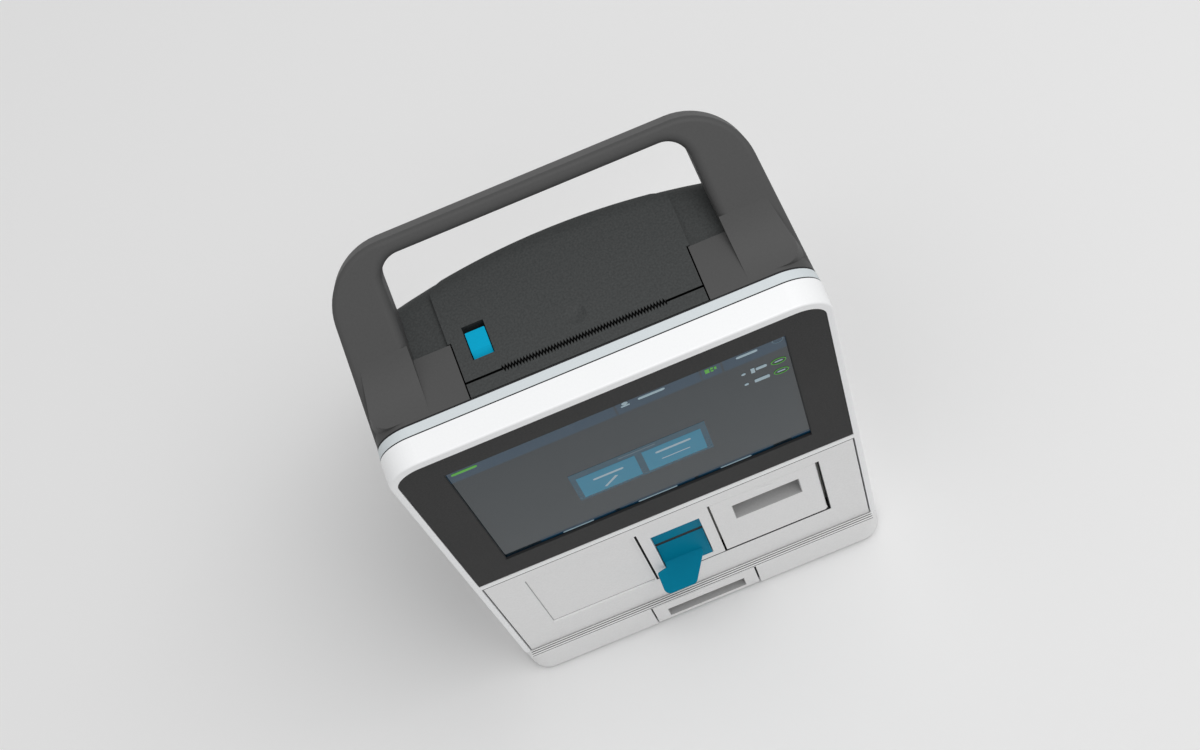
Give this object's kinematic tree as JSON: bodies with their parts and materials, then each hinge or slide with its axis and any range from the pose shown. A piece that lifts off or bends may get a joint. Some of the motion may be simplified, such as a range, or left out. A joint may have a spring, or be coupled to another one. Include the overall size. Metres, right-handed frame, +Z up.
{
  "type": "blood gas analyzer",
  "caption": "Benchtop blood gas analyser with touch screen, blue sample inlet flap, sensor hatch, pack drawer, strip printer under a lid and leaning carry handle",
  "frame": {"origin": "bottom centre of the bounding box, on the table", "axes": "x to the right seen from the front, y from the front to the back, z up"},
  "size_m": [0.2466, 0.2774, 0.4441],
  "materials": {
    "white_moulding": "smooth white moulding with a soft satin shine",
    "pale_strip": "smooth pale blue-grey",
    "grey_smooth": "smooth satin mid grey",
    "grey_textured": "fine spark texture, dark grey",
    "fascia_grey": "fine matt dark grey",
    "screen_glass": "clear cover glass with a faint sheen",
    "display": "lit display face",
    "light_grey": "smooth light grey moulding",
    "inlet_blue": "smooth saturated blue-green",
    "button_blue": "smooth bright blue",
    "black_rubber": "matt black rubber",
    "black_plastic": "black moulding",
    "steel": "plain turned or drawn steel",
    "zinc_sheet": "zinc-plated folded sheet",
    "board_green": "solder-masked circuit board",
    "ivory_plastic": "off-white moulding",
    "paper_white": "uncoated paper edge and face"
  },
  "bodies": {
    "case": {"front_frame": "white_moulding", "seam_gasket": "black_rubber", "accent_ring": "pale_strip", "handle_frame": "grey_smooth", "rear_housing": "grey_textured", "screen_fascia": "fascia_grey", "touch_glass": "screen_glass", "display_panel": "display", "display_carrier": "zinc_sheet", "main_board": "board_green", "board_screws": "steel", "front_panel": "light_grey", "panel_backing": "black_plastic", "inlet_bezel": "light_grey", "inlet_shroud": "inlet_blue", "slit_seal": "black_rubber", "inlet_hinge_pin": "steel", "inlet_gasket": "black_rubber", "sample_probe": "steel", "probe_block": "ivory_plastic", "hatch_hinge_pins": "steel", "cassette_bay": "ivory_plastic", "sensor_cassette": "ivory_plastic", "base_plinth": "light_grey", "base_floor": "zinc_sheet", "case_screws": "steel", "feet": "black_rubber", "ribbed_strip": "light_grey", "drawer_runners": "steel", "tear_bar": "grey_textured", "button_spring": "steel", "cover_hinge_pin": "steel", "printer_bay": "black_plastic", "print_head": "black_plastic", "paper_spindle": "black_plastic", "chassis": "zinc_sheet", "power_supply": "zinc_sheet", "battery_pack": "black_plastic", "pump_motor": "steel", "pump_body": "black_plastic", "fan_frame": "black_plastic", "connector_plate": "zinc_sheet", "mains_inlet": "black_plastic", "inlet_pins": "steel", "switch_frame": "black_plastic", "data_ports": "black_plastic"},
    "cover": {"printer_cover": "grey_textured", "cover_latch": "black_plastic"},
    "platen": {"platen_roller": "black_rubber", "platen_shaft": "steel"},
    "button": {"release_button": "button_blue"},
    "roll": {"paper_roll": "paper_white"},
    "flap": {"inlet_flap": "inlet_blue"},
    "hatch": {"sensor_hatch": "light_grey"},
    "drawer": {"drawer_front": "light_grey", "drawer_tray": "ivory_plastic", "solution_pack": "ivory_plastic"},
    "rocker": {"power_switch": "black_plastic"},
    "pump_spin": {"pump_rotor": "ivory_plastic"},
    "fan_spin": {"fan_rotor": "black_plastic"}
  },
  "joints": [
    {"name": "cover_hinge", "type": "hinge", "parent": "case", "child": "cover", "pos_m": [0, -0.03222, 0.383], "axis": [-1, 0, 0], "range_deg": [0, 50]},
    {"name": "platen_turn", "type": "hinge", "parent": "cover", "child": "platen", "pos_m": [0, -0.08172, 0.389], "axis": [1, 0, 0], "continuous": true},
    {"name": "release_press", "type": "slide", "parent": "cover", "child": "button", "axis": [0, 0, -1], "range_m": [0, 0.0025], "stiffness_N_per_m": 600, "springref_m": -0.001, "deforming": ["button_spring"]},
    {"name": "roll_turn", "type": "hinge", "parent": "case", "child": "roll", "pos_m": [0, -0.06772, 0.364], "axis": [1, 0, 0], "continuous": true},
    {"name": "inlet_lift", "type": "hinge", "parent": "case", "child": "flap", "pos_m": [0, -0.11472, 0.1205], "axis": [-1, 0, 0], "range_deg": [0, 55]},
    {"name": "hatch_fold", "type": "hinge", "parent": "case", "child": "hatch", "pos_m": [0.06, -0.11822, 0.0806], "axis": [1, 0, 0], "range_deg": [0, 80]},
    {"name": "drawer_slide", "type": "slide", "parent": "case", "child": "drawer", "axis": [0, -1, 0], "range_m": [0, 0.17]},
    {"name": "switch_rock", "type": "hinge", "parent": "case", "child": "rocker", "pos_m": [-0.042, 0.09432, 0.0855], "axis": [1, 0, 0], "range_deg": [0, 12]},
    {"name": "pump_turn", "type": "hinge", "parent": "case", "child": "pump_spin", "pos_m": [-0.06, -0.09172, 0.123], "axis": [0, 1, 0], "continuous": true},
    {"name": "fan_turn", "type": "hinge", "parent": "case", "child": "fan_spin", "pos_m": [0, 0.06322, 0.14], "axis": [0, 1, 0], "continuous": true}
  ]
}
